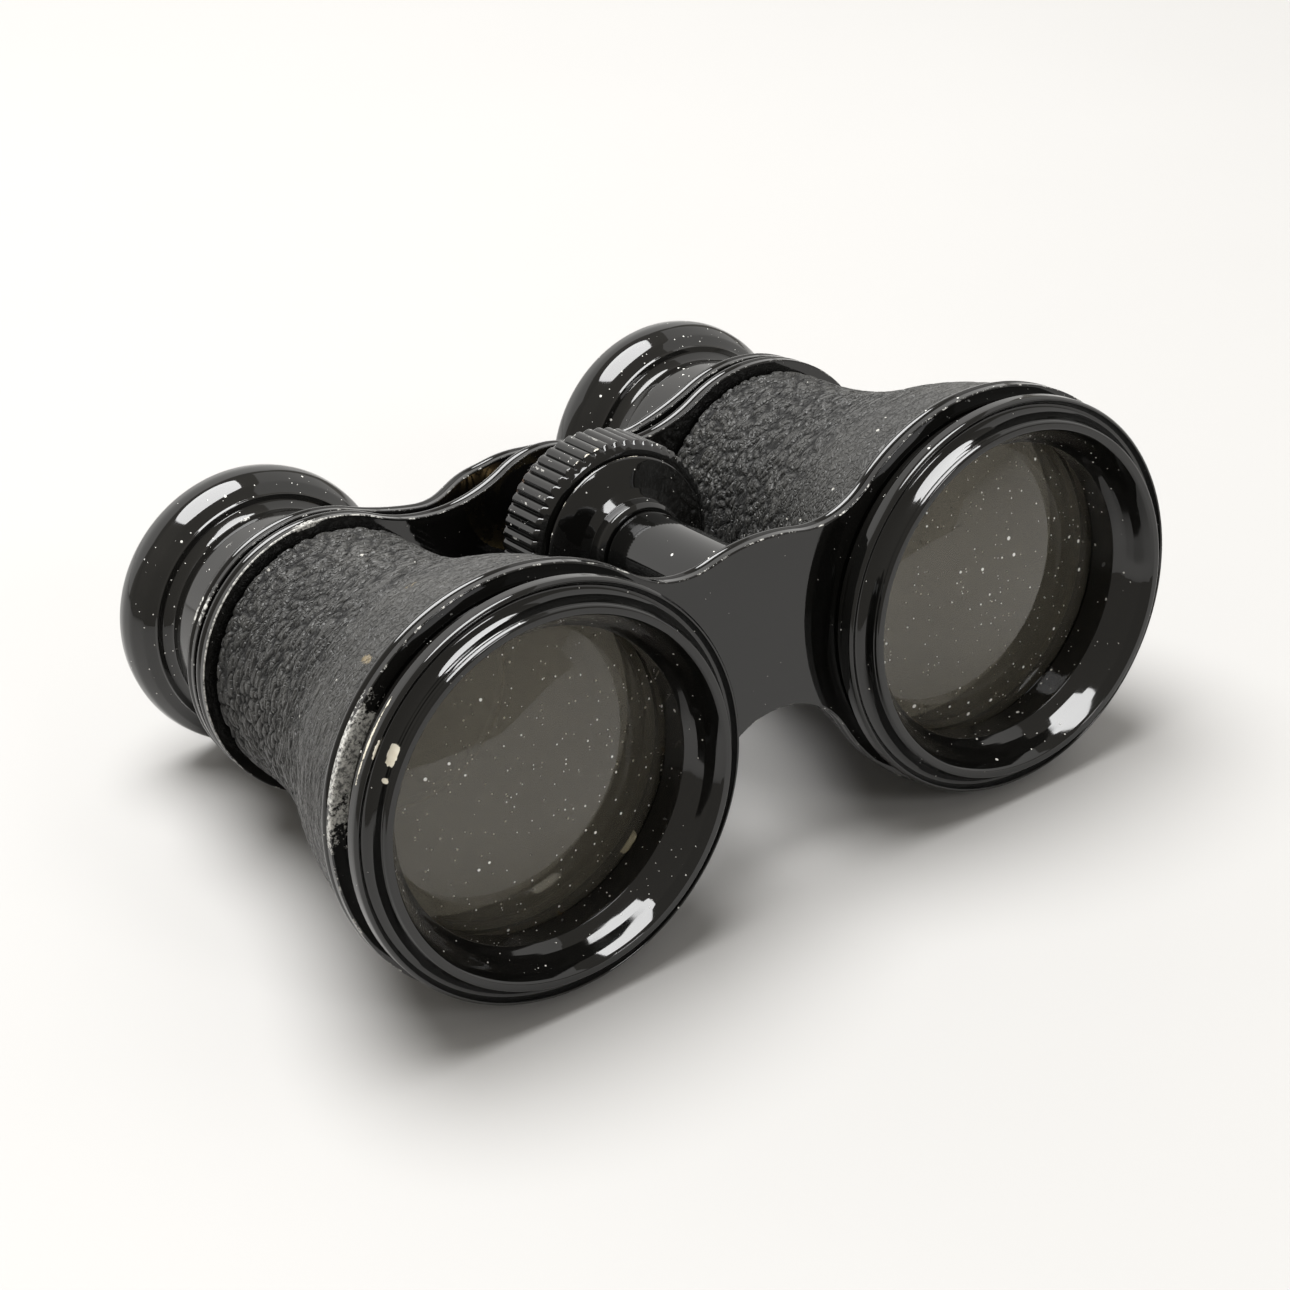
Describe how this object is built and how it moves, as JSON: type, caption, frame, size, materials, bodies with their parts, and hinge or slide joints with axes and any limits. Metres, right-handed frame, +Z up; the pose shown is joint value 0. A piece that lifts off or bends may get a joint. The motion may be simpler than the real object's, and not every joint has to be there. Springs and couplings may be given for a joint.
{
  "type": "opera glasses",
  "caption": "Opera glasses: two leather-covered bell barrels joined by plates, with a knurled centre wheel that slides the eyepieces in and out.",
  "frame": {"origin": "middle of the base, on the surface that the front plate's rims and the eyecups rest on", "axes": "+X across the barrels from the left one to the right one, +Z up from the surface, -Y to the objectives; the optical axes rise 5.95 degrees towards the objectives"},
  "size_m": [0.1098, 0.0772, 0.0477],
  "materials": {
    "black_lacquer": "gloss black lacquer, worn at the edges",
    "black_leather": "fine wrinkled black leather with a soft shine",
    "lens_glass": "clear polished glass",
    "barrel_brass": "plain drawn brass",
    "bare_brass": "turned brass",
    "blackened_brass": "matt black inside the optics"
  },
  "bodies": {
    "body": {"front_bridge": "black_lacquer", "rear_bridge": "black_lacquer", "barrel_left": "barrel_brass", "barrel_right": "barrel_brass", "leather_left": "black_leather", "leather_right": "black_leather", "objective_ring_left": "black_lacquer", "objective_ring_right": "black_lacquer", "objective_crown_left": "lens_glass", "objective_crown_right": "lens_glass", "objective_flint_left": "lens_glass", "objective_flint_right": "lens_glass", "objective_retainer_left": "blackened_brass", "objective_retainer_right": "blackened_brass", "guide_sleeve_left": "barrel_brass", "guide_sleeve_right": "barrel_brass", "column_tube": "black_lacquer", "rear_sleeve": "black_lacquer", "wheel_washer": "bare_brass"},
    "focus wheel body": {"focus_wheel": "black_lacquer", "wheel_hub": "black_lacquer", "focus_nut": "bare_brass"},
    "carriage": {"eyepiece_bridge": "black_lacquer", "draw_tube_left": "barrel_brass", "draw_tube_right": "barrel_brass", "eyecup_left": "black_lacquer", "eyecup_right": "black_lacquer", "eyepiece_cell_left": "blackened_brass", "eyepiece_cell_right": "blackened_brass", "eyepiece_lens_left": "lens_glass", "eyepiece_lens_right": "lens_glass", "focus_screw": "bare_brass", "stop_collar": "bare_brass", "bridge_screw": "black_lacquer"}
  },
  "joints": [
    {"name": "focus_turn", "type": "hinge", "parent": "body", "child": "focus wheel body", "pos_m": [0, 0.00143, 0.02894], "axis": [0, 0.9946, -0.1036], "range_deg": [0, 720]},
    {"name": "eyepiece_slide", "type": "slide", "parent": "body", "child": "carriage", "axis": [0, 0.9946, -0.1036], "range_m": [0, 0.01]}
  ],
  "couplings": [
    {"joint": "focus_turn", "follows": "eyepiece_slide", "rad_per_m": 1256.6}
  ]
}
